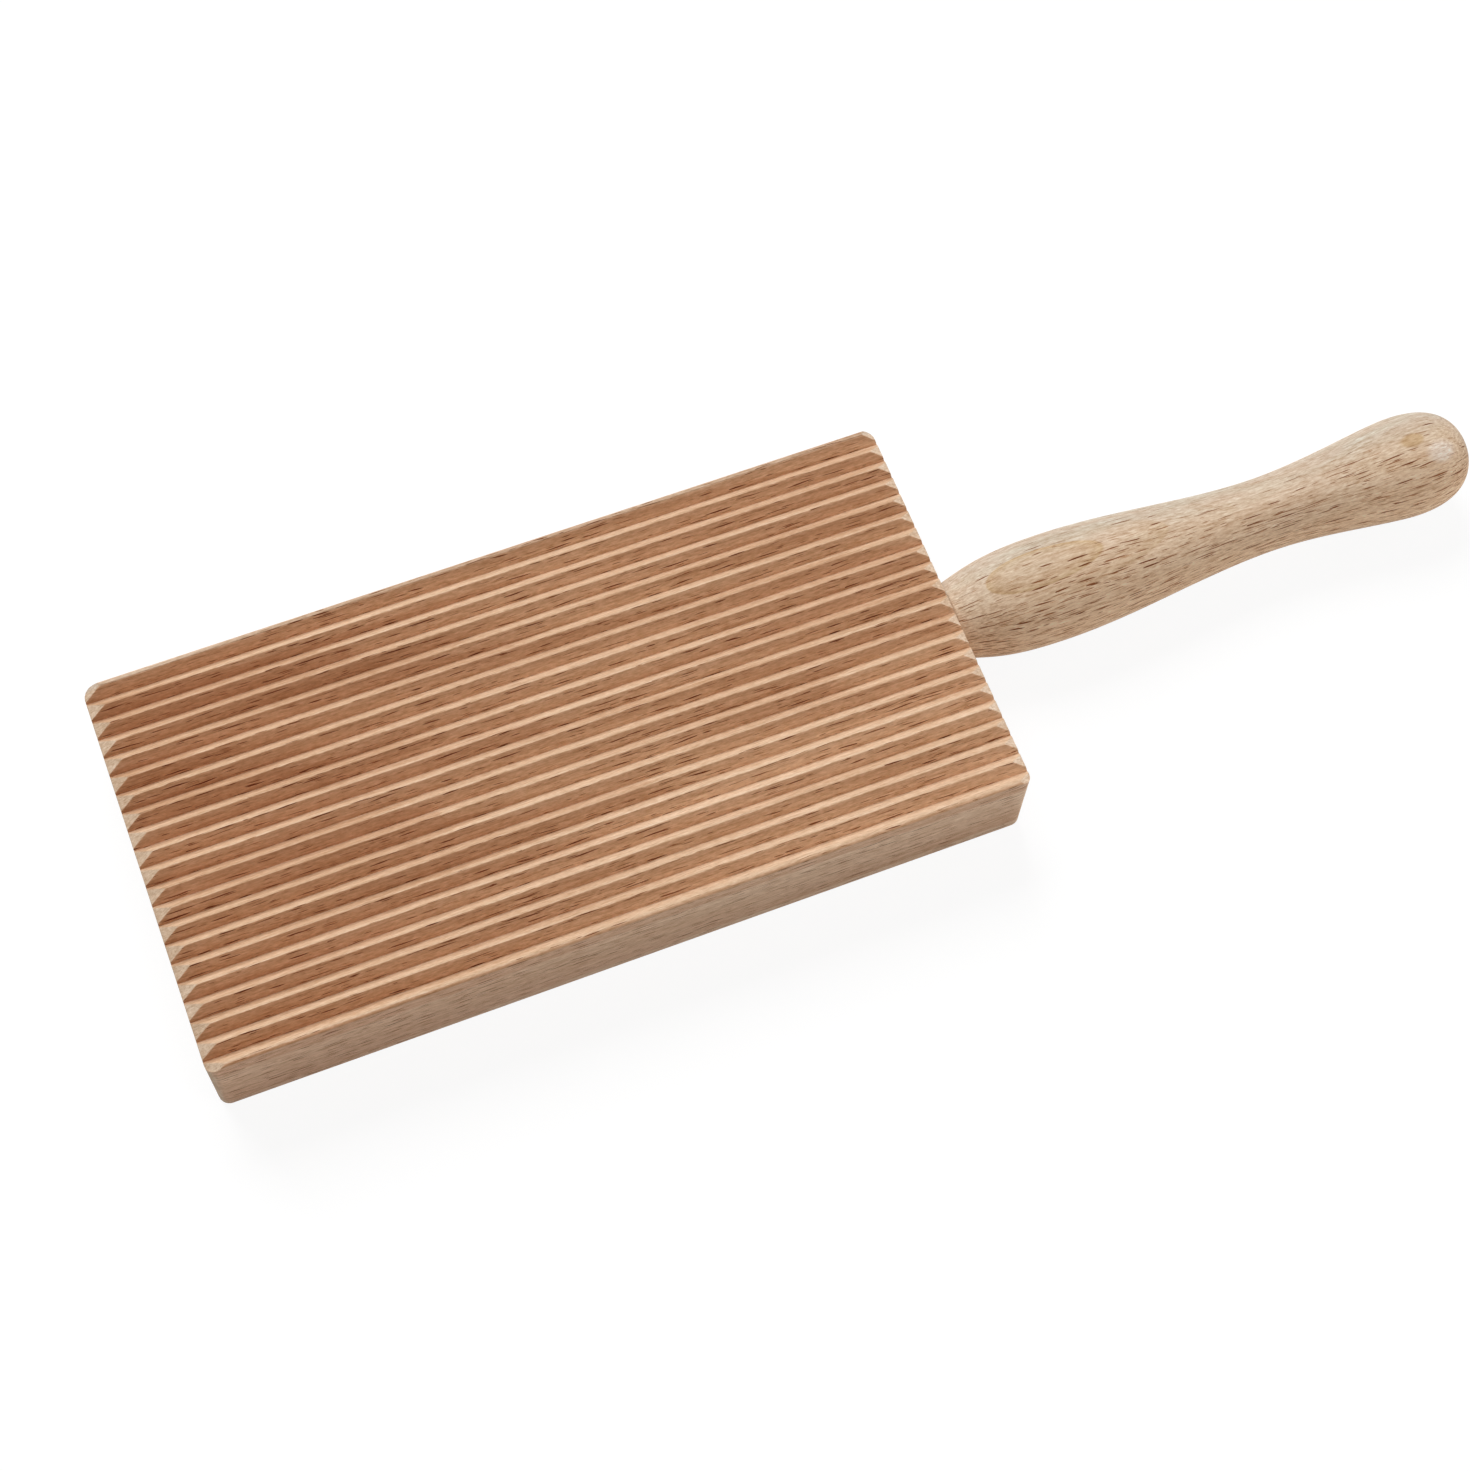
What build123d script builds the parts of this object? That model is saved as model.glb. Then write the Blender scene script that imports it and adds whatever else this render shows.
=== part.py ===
from build123d import *
import math
import os

# Gnocchi board: a beech block with a ridged face, and a turned beech handle whose
# tenon is glued in a bore in the end of the block.
# Millimetres. +X runs from the block to the knob, +Y across the ridges, +Z up out of
# the ridged face. The origin is under the middle of the whole part, on its underside.

# Beech stock that both pieces are cut from
stock_thickness = 24.0

# Block
board_length = 180.0
board_width = 90.0
corner_radius = 2.4  # upright corners
under_edge_radius = 0.8  # edges round the underside
side_edge_radius = 0.8  # long edges beside the ridges

# Ridges, cut with a V tool from end to end
groove_pitch = 4.4
groove_depth = 2.3
crest_radius = 0.25  # sanded crests
narrowest_land = 0.6  # flat left beside the outermost groove, at the least
far_bevel_length = 4.0  # along the board, at the end away from the handle
far_bevel_depth = 1.95  # less than the grooves, so that each ridge ends in a facet
handle_bevel_length = 2.75
handle_bevel_depth = 1.6

# Handle, as radii at distances from the board's end face
handle_length = 126.5
neck_radius = 8.4
bulge_from_board = 25.5
waist_from_board = 76.5
waist_radius = 8.35
knob_from_board = 112.0
knob_relief = 0.5  # the knob is turned this much under the stock
shoulder_bevel = 0.9

# How full the turned curve is between those places
neck_lead_share = 0.29  # of the run from shoulder to bulge
neck_rise_share = 0.57  # of the rise from neck to bulge
bulge_near_share = 0.55
bulge_far_share = 0.35
waist_near_share = 0.33
waist_far_share = 0.39
knob_near_share = 0.21
knob_far_share = 0.62
tip_share = 0.70  # of the knob's radius

# Glued joint
tenon_radius = 6.0
tenon_length = 24.0
tenon_bevel = 1.0
glue_ring_count = 3
glue_ring_width = 1.2
glue_ring_depth = 0.4
glue_clearance = 0.05  # all round the tenon
glue_gap = 1.5  # between the tenon's tip and the bottom of the bore
drill_point_angle = 118.0  # degrees

# How far a cutting solid reaches past what it cuts
overrun = 5.0

# What follows from those sizes
handle_height = stock_thickness / 2
bulge_radius = stock_thickness / 2
knob_radius = bulge_radius - knob_relief
overall_length = board_length + handle_length
joint_x = overall_length / 2 - handle_length
board_middle_x = joint_x - board_length / 2
groove_count = int((board_width - 2 * narrowest_land) / groove_pitch)
land_width = (board_width - groove_count * groove_pitch) / 2


def ridge_outline():
    """The block's section across the ridges, as (y, z) points from the bottom corner round."""
    half_width = board_width / 2
    first_crest = half_width - land_width
    points = [(-half_width, 0), (half_width, 0), (half_width, stock_thickness)]
    for groove in range(groove_count):
        crest = first_crest - groove * groove_pitch
        points.append((crest, stock_thickness))
        points.append((crest - groove_pitch / 2, stock_thickness - groove_depth))
    points.append((-first_crest, stock_thickness))
    points.append((-half_width, stock_thickness))
    return points


def ridged_stick():
    """The block before its ends are shaped: the ridged section run along X."""
    section = make_face(Polyline(*ridge_outline(), close=True))
    crests = section.vertices().group_by(Axis.Y)[-1].sort_by(Axis.X)[1:-1]
    section = fillet(crests, crest_radius)
    top_points = section.vertices().group_by(Axis.Y)[-1].sort_by(Axis.X)
    side_corners = [top_points[0], top_points[-1]]
    section = fillet(side_corners, min(side_edge_radius, land_width - crest_radius))
    stick_plane = Plane(
        origin=(board_middle_x - board_length / 2, 0, 0), x_dir=(0, 1, 0), z_dir=(1, 0, 0)
    )
    return extrude(stick_plane * section, board_length)


def plan_block():
    """The block's rounded plan run straight up, its underside's edges eased."""
    plan = RectangleRounded(board_length, board_width, corner_radius)
    block = extrude(Pos(board_middle_x, 0, 0) * plan, stock_thickness)
    under_edges = block.faces().sort_by(Axis.Z)[0].edges()
    return fillet(under_edges, under_edge_radius)


def end_bevel_cutter(side, bevel_length, bevel_depth):
    """What a bevel takes off the ridges at one end: side is 1 at the handle, else -1."""
    end_x = board_middle_x + side * board_length / 2
    slope = bevel_depth / bevel_length
    inner_x = end_x - side * (bevel_length + overrun)
    outer_x = end_x + side * overrun
    inner_z = stock_thickness + slope * overrun
    outer_z = stock_thickness - bevel_depth - slope * overrun
    outline = Polyline((inner_x, inner_z), (outer_x, inner_z), (outer_x, outer_z), close=True)
    return extrude(Plane.XZ * make_face(outline), board_width / 2 + overrun, both=True)


def handle_bore():
    """Blind bore for the tenon, with the cone that a drill leaves."""
    radius = tenon_radius + glue_clearance
    depth = tenon_length + glue_gap
    cone_depth = radius / math.tan(math.radians(drill_point_angle / 2))
    outline = Polyline(
        (-depth - cone_depth, 0), (-depth, radius), (overrun, radius), (overrun, 0), close=True
    )
    turned = revolve(Plane.XZ * make_face(outline), Axis.X)
    return Pos(joint_x, 0, handle_height) * turned


def ridged_board():
    board = ridged_stick() & plan_block()
    board -= end_bevel_cutter(1, handle_bevel_length, handle_bevel_depth)
    board -= end_bevel_cutter(-1, far_bevel_length, far_bevel_depth)
    board -= handle_bore()
    return board


def tenon_points():
    """Outline of the tenon from its tip to the shoulder, as (distance, radius) points."""
    points = [
        (-tenon_length, 0),
        (-tenon_length, tenon_radius - tenon_bevel),
        (-tenon_length + tenon_bevel, tenon_radius),
    ]
    ring_spacing = tenon_length / (glue_ring_count + 1)
    for ring in range(1, glue_ring_count + 1):
        middle = -tenon_length + ring * ring_spacing
        points.append((middle - glue_ring_width / 2, tenon_radius))
        points.append((middle, tenon_radius - glue_ring_depth))
        points.append((middle + glue_ring_width / 2, tenon_radius))
    points.append((0, tenon_radius))
    points.append((0, neck_radius - shoulder_bevel))
    points.append((shoulder_bevel, neck_radius))
    return points


def turned_curve(start, end, near_share, far_share):
    """A curve that leaves start and reaches end along the handle's length."""
    run = end[0] - start[0]
    return Bezier(
        start,
        (start[0] + near_share * run, start[1]),
        (end[0] - far_share * run, end[1]),
        end,
    )


def handle_curves():
    """The grip's outline from the shoulder to the knob's tip, as four joined curves."""
    shoulder = (shoulder_bevel, neck_radius)
    bulge = (bulge_from_board, bulge_radius)
    waist = (waist_from_board, waist_radius)
    knob = (knob_from_board, knob_radius)
    neck_run = bulge[0] - shoulder[0]
    neck_rise = bulge[1] - shoulder[1]
    swell = Bezier(
        shoulder,
        (shoulder[0] + neck_lead_share * neck_run, shoulder[1] + neck_rise_share * neck_rise),
        (bulge[0] - bulge_near_share * neck_run, bulge[1]),
        bulge,
    )
    taper = turned_curve(bulge, waist, bulge_far_share, waist_near_share)
    flare = turned_curve(waist, knob, waist_far_share, knob_near_share)
    tip_run = handle_length - knob[0]
    tip = Bezier(
        knob,
        (knob[0] + knob_far_share * tip_run, knob[1]),
        (handle_length, tip_share * knob[1]),
        (handle_length, 0),
    )
    return [swell, taper, flare, tip]


def turned_handle():
    outline = Polyline(*tenon_points()) + handle_curves()
    outline += Line((handle_length, 0), (-tenon_length, 0))
    turned = revolve(Plane.XZ * make_face(outline), Axis.X)
    return Pos(joint_x, 0, handle_height) * turned


pieces = {
    "ridged_board": ridged_board(),
    "turned_handle": turned_handle(),
}

os.makedirs("parts", exist_ok=True)
for node, solid in pieces.items():
    solid.label = node
    export_step(solid, f"parts/{node}.step")
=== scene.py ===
import math
import bmesh
import bpy
import numpy as np
from mathutils import Matrix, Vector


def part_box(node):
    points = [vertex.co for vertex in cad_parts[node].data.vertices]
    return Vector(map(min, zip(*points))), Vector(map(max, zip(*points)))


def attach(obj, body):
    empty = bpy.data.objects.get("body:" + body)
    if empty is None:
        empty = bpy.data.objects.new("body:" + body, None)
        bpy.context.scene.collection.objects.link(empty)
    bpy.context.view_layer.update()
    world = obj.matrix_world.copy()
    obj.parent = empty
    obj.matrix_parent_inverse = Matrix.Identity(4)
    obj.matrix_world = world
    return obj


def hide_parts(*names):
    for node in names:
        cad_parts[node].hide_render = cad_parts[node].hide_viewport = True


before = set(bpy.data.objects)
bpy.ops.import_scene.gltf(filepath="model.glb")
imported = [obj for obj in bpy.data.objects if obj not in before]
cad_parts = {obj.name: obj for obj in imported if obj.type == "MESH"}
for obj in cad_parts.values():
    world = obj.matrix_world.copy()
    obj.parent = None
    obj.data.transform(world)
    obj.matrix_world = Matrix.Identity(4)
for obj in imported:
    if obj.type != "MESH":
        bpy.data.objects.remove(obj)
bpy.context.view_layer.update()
print("frame loaded")

mm = 0.001  # the values below are in millimetres unless they say otherwise
mergeWithin = 0.004  # points of a piece that are closer than this become one
sharpAngle = 28.0  # degrees between two faces, past which their edge shades sharp


# Meshes

# One object from patches of points (each rows x columns x 3, in mm) and loops of points.
# Neighbouring cells of a patch make one face, a loop makes one flat face, and points that
# lie on each other become one, which closes the seams. Each point also has a grain place:
# its distance along the fibres and its distance round the section, kept as the UV map.
def makePiece(name, patches, loops=()):
    points, places, faces, first = [], [], [], 0
    for patch, place in patches:
        rows, columns = patch.shape[:2]
        index = first + np.arange(rows * columns).reshape(rows, columns)
        a, b = index[:-1, :-1], index[:-1, 1:]
        c, d = index[1:, 1:], index[1:, :-1]
        faces += np.stack([a, b, c, d], axis=-1).reshape(-1, 4).tolist()
        points.append(patch.reshape(-1, 3))
        places.append(place.reshape(-1, 2))
        first += rows * columns
    for loop, place in loops:
        faces.append(list(range(first, first + len(loop))))
        points.append(loop)
        places.append(place)
        first += len(loop)
    mesh = bpy.data.meshes.new(name)
    mesh.from_pydata((np.concatenate(points) * mm).tolist(), [], faces)
    corners = np.zeros(len(mesh.loops), np.int32)
    mesh.loops.foreach_get("vertex_index", corners)
    grainMap = mesh.uv_layers.new(name="grain")
    grainMap.data.foreach_set("uv", np.concatenate(places)[corners].ravel())
    piece = bpy.data.objects.new(name, mesh)
    bpy.context.scene.collection.objects.link(piece)
    closeSeams(mesh)
    return piece


# Merges points that share a place, turns all faces outwards and splits the shading at corners.
def closeSeams(mesh):
    shell = bmesh.new()
    shell.from_mesh(mesh)
    bmesh.ops.remove_doubles(shell, verts=shell.verts, dist=mergeWithin * mm)
    bmesh.ops.dissolve_degenerate(shell, edges=shell.edges, dist=mergeWithin * mm)
    bmesh.ops.recalc_face_normals(shell, faces=shell.faces)
    shell.to_mesh(mesh)
    shell.free()
    mesh.shade_smooth()
    mesh.set_sharp_from_angle(angle=math.radians(sharpAngle))


# A smooth wandering line: the mean of sines along x, each with a drawn phase and with its
# wavelength stretched by a drawn amount, one row for each line.
def wander(x, lines, wavelengths, seed, stretches=(0.8, 1.25)):
    dice = np.random.default_rng(seed)
    total = np.zeros((lines,) + x.shape)
    for wavelength in wavelengths:
        phase = dice.uniform(0, 2 * np.pi, (lines,) + (1,) * x.ndim)
        stretch = dice.uniform(*stretches, (lines,) + (1,) * x.ndim)
        total += np.sin(2 * np.pi * x[None] / (wavelength * stretch) + phase)
    return total / len(wavelengths)


boardLow, boardHigh = (np.array(corner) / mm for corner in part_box("ridged_board"))
handleLow, handleHigh = (np.array(corner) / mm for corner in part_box("turned_handle"))

boardShape = {
    "cornerRadius": 2.4,  # upright corners
    "underEdge": 0.8,  # rounding of the underside's edges
    "sideEdges": (0.75, 0.40),  # rounding of the long edges beside the ridges, -Y and +Y
    "pitch": 4.4,
    "grooves": 20,
    "depth": 2.3,
    "crestRadius": 0.25,
    "farBevel": (4.0, 1.95),  # length along the board and depth, away from the handle
    "handleBevel": (2.75, 1.6),
    "boreRadius": 6.05,
    "boreDepth": 25.5,
    "boreCone": 3.6,
    "toolWander": 0.05,  # how far a groove strays sideways
    "wanderWaves": (70, 31, 13, 6),
    "wanderSeed": 4,
    "wanderFrom": 2.2,  # how far inside the long edges the straying starts
    "wanderFade": 1.5,  # and over how much it grows to its full size
    "sanding": 0.09,  # how much the sanding takes off a crest, at most
    "sandingWaves": (90, 37, 17, 8),
    "sandingSeed": 9,
    "sandingDepth": 0.75,  # how far below the crests it reaches
    "finishSteps": 400,  # places along the block where both are drawn
    "easing": 0.17,  # half the width of the broken edges round the bevels
    "easingShare": 0.4,  # of a bevel's length, at the most
    "easedOff": (0.8, 0.25),  # what they take off the end and the crease, in parts of the easing
    "leastBevel": 0.04,  # length of the bevel where it would run out
    "cornerStart": 0.4,  # how far inside the corners' rounding the columns start to close in
    "levelGap": 0.5,  # from the grooves' bottoms down to a level line on the end face
    "rowStep": 1.25,
    "rowWidening": 1.15,  # power by which the rows spread towards the middle
    "bevelRows": 7,
    "crestPoints": 5,
    "flankPoints": 4,
    "edgePoints": 6,  # across the rounded long edges, and round under the block
    "wallRows": 11,
    "faceRings": 5,
}


# Height of the ridged face above the underside at a distance y across the board: straight
# V flanks between crests, each crest an arc that touches both flanks, and a quarter round
# at the long edges.
def ridgeHeight(y, shape=boardShape):
    thickness = boardHigh[2]
    half = boardHigh[1]
    pitch, depth, radius = shape["pitch"], shape["depth"], shape["crestRadius"]
    field = shape["grooves"] * pitch / 2
    slope = depth / (pitch / 2)
    fromCrest = np.abs((y + field + pitch / 2) % pitch - pitch / 2)
    flank = thickness - slope * fromCrest
    lean = math.atan(slope)
    arcCentre = thickness - radius / math.cos(lean)
    arc = arcCentre + np.sqrt(np.maximum(radius**2 - fromCrest**2, 0))
    ridge = np.where(fromCrest < radius * math.sin(lean), arc, flank)
    fromSide = half - np.abs(y)
    edge = np.where(y < 0, *shape["sideEdges"])
    short = np.clip(edge - fromSide, 0, edge)
    land = thickness - edge + np.sqrt(np.maximum(edge**2 - short**2, 0))
    return np.where(np.abs(y) > field, np.minimum(land, thickness), ridge)


# Places across the board where the ridged face is sampled: the long edges' rounds, and for
# each ridge its crest arc, its flanks and the groove's bottom.
def ridgeColumns(shape=boardShape):
    half, pitch = boardHigh[1], shape["pitch"]
    field = shape["grooves"] * pitch / 2
    slope = shape["depth"] / (pitch / 2)
    lean = math.atan(slope)
    arc = shape["crestRadius"] * np.sin(np.linspace(-lean, lean, shape["crestPoints"]))
    flank = np.linspace(arc[-1], pitch / 2, shape["flankPoints"] + 2)[1:-1]
    oneGroove = np.concatenate([flank, [pitch / 2], pitch - flank[::-1], pitch + arc])
    ridges = (-field + pitch * np.arange(shape["grooves"])[:, None] + oneGroove).ravel()
    turn = 1 - np.cos(np.linspace(0, np.pi / 2, shape["edgePoints"]))
    near, far = (np.append(-half + edge * turn, arc[1:] - field) for edge in shape["sideEdges"])
    return np.concatenate([near, ridges[: -len(arc)], -far[::-1]])


# Rows of the ridged face from one end to the block's middle, as distances from that end for
# each column: evenly over the bevel, on both sides of its crease, then in widening steps.
# Also the height that the broken edges take off each row.
def bevelRows(height0, length, bevel, shape):
    bevelLength, bevelDepth = bevel
    bevelRun = (height0 - boardHigh[2] + bevelDepth) * bevelLength / bevelDepth
    bevelRun = np.clip(bevelRun, shape["leastBevel"], None)
    easing = np.minimum(shape["easing"], shape["easingShare"] * bevelRun)
    halfRows = int(length / 2 / shape["rowStep"])
    steps = np.linspace(0, 1, shape["bevelRows"])[:, None]
    onBevel = easing + (bevelRun - 2 * easing) * steps
    crease = np.stack([bevelRun, bevelRun + easing])
    bodySteps = np.linspace(0, 1, halfRows)[1:, None] ** shape["rowWidening"]
    beyond = crease[1] + (length / 2 - crease[1]) * bodySteps
    rows = np.concatenate([np.zeros((1, len(height0))), onBevel, crease, beyond])
    broken = np.zeros_like(rows)
    atEnd, atCrease = shape["easedOff"]
    broken[0] = atEnd * easing
    broken[1 + len(onBevel)] = atCrease * easing
    return rows, broken


# The block: a ridged top on a grid whose rows follow the end bevels, walls that run down
# from its rim and turn in under the block, an end face with the bore for the tenon, and a
# flat underside.
def makeBoard(shape=boardShape):
    half, thickness = boardHigh[1], boardHigh[2]
    startX, endX = boardLow[0], boardHigh[0]
    length = endX - startX
    columns = ridgeColumns()
    height0 = ridgeHeight(columns)
    startRows, startBroken = bevelRows(height0, length, shape["farBevel"], shape)
    endRows, endBroken = bevelRows(height0, length, shape["handleBevel"], shape)
    x = np.concatenate([startX + startRows, endX - endRows[-2::-1]])
    broken = np.concatenate([startBroken, endBroken[-2::-1]])
    toEnd = np.minimum(x - startX, endX - x)
    onBevels = thickness
    for fromEnd, bevel in ((x - startX, "farBevel"), (endX - x, "handleBevel")):
        bevelLength, bevelDepth = shape[bevel]
        onBevels = np.minimum(onBevels, thickness + bevelDepth * (fromEnd / bevelLength - 1))

    # plan corners: the outermost columns close in on the rounded outline
    radius = shape["cornerRadius"]
    short = np.clip(radius - toEnd, 0, radius)
    reach = half - radius + np.sqrt(radius**2 - short**2)
    kept = half - radius - shape["cornerStart"]
    side = np.sign(columns)[None]
    outside = np.clip((np.abs(columns)[None] - kept) / (half - kept), 0, None)
    squeezed = kept + outside * (reach - kept)
    y = np.where(np.abs(columns)[None] > kept, side * squeezed, columns[None])
    z = np.minimum(ridgeHeight(y), onBevels) - broken

    # hand finish: grooves stray a little sideways and the sanding eats into the crests
    lines = shape["grooves"] * 2 + 1
    line = (columns + shape["grooves"] * shape["pitch"] / 2) / (shape["pitch"] / 2)
    line = np.clip(line, 0, lines - 1)
    lower = np.clip(np.floor(line).astype(int), 0, lines - 2)
    share = (line - lower)[None]
    alongX = np.linspace(startX, endX, shape["finishSteps"])
    stray = wander(alongX, lines, shape["wanderWaves"], shape["wanderSeed"])
    worn = wander(alongX, lines, shape["sandingWaves"], shape["sandingSeed"])
    pick = lambda table, row: np.stack(
        [np.interp(x[:, c], alongX, table[row[c]]) for c in range(len(columns))], axis=1
    )
    strayHere = pick(stray, lower) * (1 - share) + pick(stray, lower + 1) * share
    wornHere = pick(worn, lower) * (1 - share) + pick(worn, lower + 1) * share
    fromSide = half - np.abs(columns)
    inField = np.clip((fromSide - shape["wanderFrom"]) / shape["wanderFade"], 0, 1)[None]
    y = y + shape["toolWander"] * strayHere * inField
    nearCrest = np.clip(1 - (thickness - height0) / shape["sandingDepth"], 0, 1)[None]
    z = z - shape["sanding"] * (0.5 + 0.5 * wornHere) * nearCrest
    top = np.stack([x, y, z], axis=-1)

    # distance round the section, so that the grain is not stretched on the flanks
    step = np.hypot(np.diff(columns), np.diff(height0))
    around = np.concatenate([[0], np.cumsum(step)])
    place = np.stack([x, np.broadcast_to(around, x.shape)], axis=-1)

    # walls
    rim = np.concatenate([top[:, 0], top[-1, 1:], top[-2::-1, -1], top[0, -2:0:-1]])
    rim = np.concatenate([rim, rim[:1]])
    away = outwardDirection(rim, radius)
    under = shape["underEdge"]
    drop = np.linspace(0, 1, shape["wallRows"])[:, None, None]
    foot = rim.copy()
    foot[:, 2] = under
    wall = rim[None] * (1 - drop) + foot[None] * drop
    turn = np.linspace(0, np.pi / 2, shape["edgePoints"])[1:, None, None]
    inward = foot[None] - away[None] * under * (1 - np.cos(turn))
    inward[..., 2] = under * (1 - np.sin(turn[..., 0]))
    full = np.concatenate([wall, inward])
    wallPlace = wallGrain(full, around[-1])
    rows, count = len(columns), len(top)
    handleEnd = slice(count - 1, count + rows - 1)
    others = [slice(0, count), slice(count + rows - 2, len(rim))]
    patches = [(top, place)]
    patches += [(full[:, part], wallPlace[:, part]) for part in others]
    lowPart = slice(len(wall) - 1, None)
    patches.append((full[lowPart, handleEnd], wallPlace[lowPart, handleEnd]))

    # end face with the bore: strips from the ridges' ends down to a level line, rings from
    # there to the bore, then down the bore
    edgeLoop = np.concatenate([
        rim[handleEnd],
        wall[1:, count + rows - 2],
        foot[handleEnd][-2::-1],
        wall[-2:0:-1, count - 1],
    ])
    edgeLoop = np.concatenate([edgeLoop, edgeLoop[:1]])
    axisHeight = thickness / 2
    levelLoop = edgeLoop.copy()
    levelLoop[:, 2] = np.minimum(edgeLoop[:, 2], thickness - shape["depth"] - shape["levelGap"])
    angle = np.arctan2(levelLoop[:, 2] - axisHeight, levelLoop[:, 1])
    bore = np.stack([
        np.full_like(angle, endX),
        shape["boreRadius"] * np.cos(angle),
        axisHeight + shape["boreRadius"] * np.sin(angle),
    ], axis=-1)
    spread = np.linspace(0, 1, shape["faceRings"])[:, None, None]
    face = levelLoop[None] * (1 - spread) + bore[None] * spread
    inside = np.repeat(bore[None], 4, axis=0)
    inside[1, :, 0] -= shape["boreDepth"] / 2
    inside[2, :, 0] -= shape["boreDepth"]
    inside[3] = [endX - shape["boreDepth"] - shape["boreCone"], 0, axisHeight]
    faceAndBore = np.concatenate([edgeLoop[None], face, inside[1:]])
    patches.append((faceAndBore, faceAndBore[..., 1:]))
    underside = full[-1, :-1]
    return makePiece("ridgedBoard", patches, [(underside, underside[:, :2])])


# Level direction that points out of the block's rounded outline at each point of it.
def outwardDirection(points, radius):
    middle = (boardLow + boardHigh) / 2
    core = (boardHigh - boardLow) / 2 - radius
    offset = (points - middle)[:, :2]
    away = offset - np.clip(offset, -core[:2], core[:2])
    away = np.concatenate([away, np.zeros((len(points), 1))], axis=1)
    return away / np.linalg.norm(away, axis=1, keepdims=True)


# Grain place on the walls: along the fibres, and down the wall from the ridged face.
def wallGrain(walls, around):
    down = boardHigh[2] - walls[..., 2]
    side = np.where(walls[..., 1] > 0, around + down, -down)
    return np.stack([walls[..., 0], side], axis=-1)


handleShape = {
    "neckRadius": 8.4,
    "bulgeFromBoard": 25.5,
    "waistFromBoard": 76.5,
    "waistRadius": 8.35,
    "knobFromBoard": 112.0,
    "knobRelief": 0.5,
    "shoulderBevel": 0.9,
    "neckLead": (0.29, 0.57),  # shares of the run and of the rise from neck to bulge
    "bulgeLeads": (0.55, 0.35),  # how far a curve stays level before and after it
    "waistLeads": (0.33, 0.39),
    "knobLeads": (0.21, 0.62),
    "tipLead": 0.70,  # share of the knob's radius
    "curvePoints": (26, 42, 32, 30),
    "tenonRadius": 6.0,
    "tenonLength": 24.0,
    "tenonBevel": 1.0,
    "glueRings": 3,
    "ringWidth": 1.2,
    "ringDepth": 0.4,
    "sides": 128,
    "unevenness": 0.05,  # how far the hand sanding departs from a true circle
    "unevenWaves": ((2, 63.0), (3, 41.0), (5, 29.0), (7, 17.0)),  # number round it, length
    "unevenSeed": 21,
    "unevenFrom": 2.0,  # distance from the board
    "unevenFade": 6.0,  # and over how much it grows to its full size
    "grainRadius": 10.0,  # radius at which the grain round the handle is true to size
}


# A cubic curve through four control points, as points spaced evenly in its parameter.
def cubic(control, count):
    t = np.linspace(0, 1, count)[:, None]
    p = np.array(control, float)
    first, second = (1 - t) ** 3 * p[0], 3 * (1 - t) ** 2 * t * p[1]
    third, fourth = 3 * (1 - t) * t**2 * p[2], t**3 * p[3]
    return first + second + third + fourth


# The handle's outline as (distance from the board, radius): tenon, shoulder, then four
# curves that swell to the bulge, fall to the waist, rise to the knob and close at its tip.
def handleOutline(shape=handleShape):
    full = handleHigh[0] - boardHigh[0]
    bulge = (shape["bulgeFromBoard"], boardHigh[2] / 2)
    waist = (shape["waistFromBoard"], shape["waistRadius"])
    knob = (shape["knobFromBoard"], bulge[1] - shape["knobRelief"])
    neck = (shape["shoulderBevel"], shape["neckRadius"])
    neckLead, counts = shape["neckLead"], shape["curvePoints"]
    beforeBulge, afterBulge = shape["bulgeLeads"]
    beforeWaist, afterWaist = shape["waistLeads"]
    beforeKnob, afterKnob = shape["knobLeads"]
    leave = lambda place, lead, run: (place[0] + lead * run, place[1])
    run, rise = bulge[0] - neck[0], bulge[1] - neck[1]
    fromNeck = (neck[0] + neckLead[0] * run, neck[1] + neckLead[1] * rise)
    swell = cubic([neck, fromNeck, leave(bulge, -beforeBulge, run), bulge], counts[0])
    run = waist[0] - bulge[0]
    toWaist = [leave(bulge, afterBulge, run), leave(waist, -beforeWaist, run)]
    taper = cubic([bulge, *toWaist, waist], counts[1])
    run = knob[0] - waist[0]
    toKnob = [leave(waist, afterWaist, run), leave(knob, -beforeKnob, run)]
    flare = cubic([waist, *toKnob, knob], counts[2])
    run = full - knob[0]
    toTip = [leave(knob, afterKnob, run), (full, shape["tipLead"] * knob[1])]
    tip = cubic([knob, *toTip, (full, 0)], counts[3])
    grip = np.concatenate([swell, taper[1:], flare[1:], tip[1:]])
    tenon, end, bevel = shape["tenonRadius"], -shape["tenonLength"], shape["tenonBevel"]
    gap = shape["tenonLength"] / (shape["glueRings"] + 1)
    middles = end + gap * np.arange(1, shape["glueRings"] + 1)
    halfRing = shape["ringWidth"] / 2
    rings = np.stack([
        np.stack([middles - halfRing, middles, middles + halfRing], axis=1),
        np.tile([tenon, tenon - shape["ringDepth"], tenon], (shape["glueRings"], 1)),
    ], axis=-1).reshape(-1, 2)
    start = [(end, 0), (end, tenon - bevel), (end + bevel, tenon)]
    shoulder = [(0, tenon), (0, shape["neckRadius"] - shape["shoulderBevel"])]
    return np.concatenate([start, rings, shoulder, grip])


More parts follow.
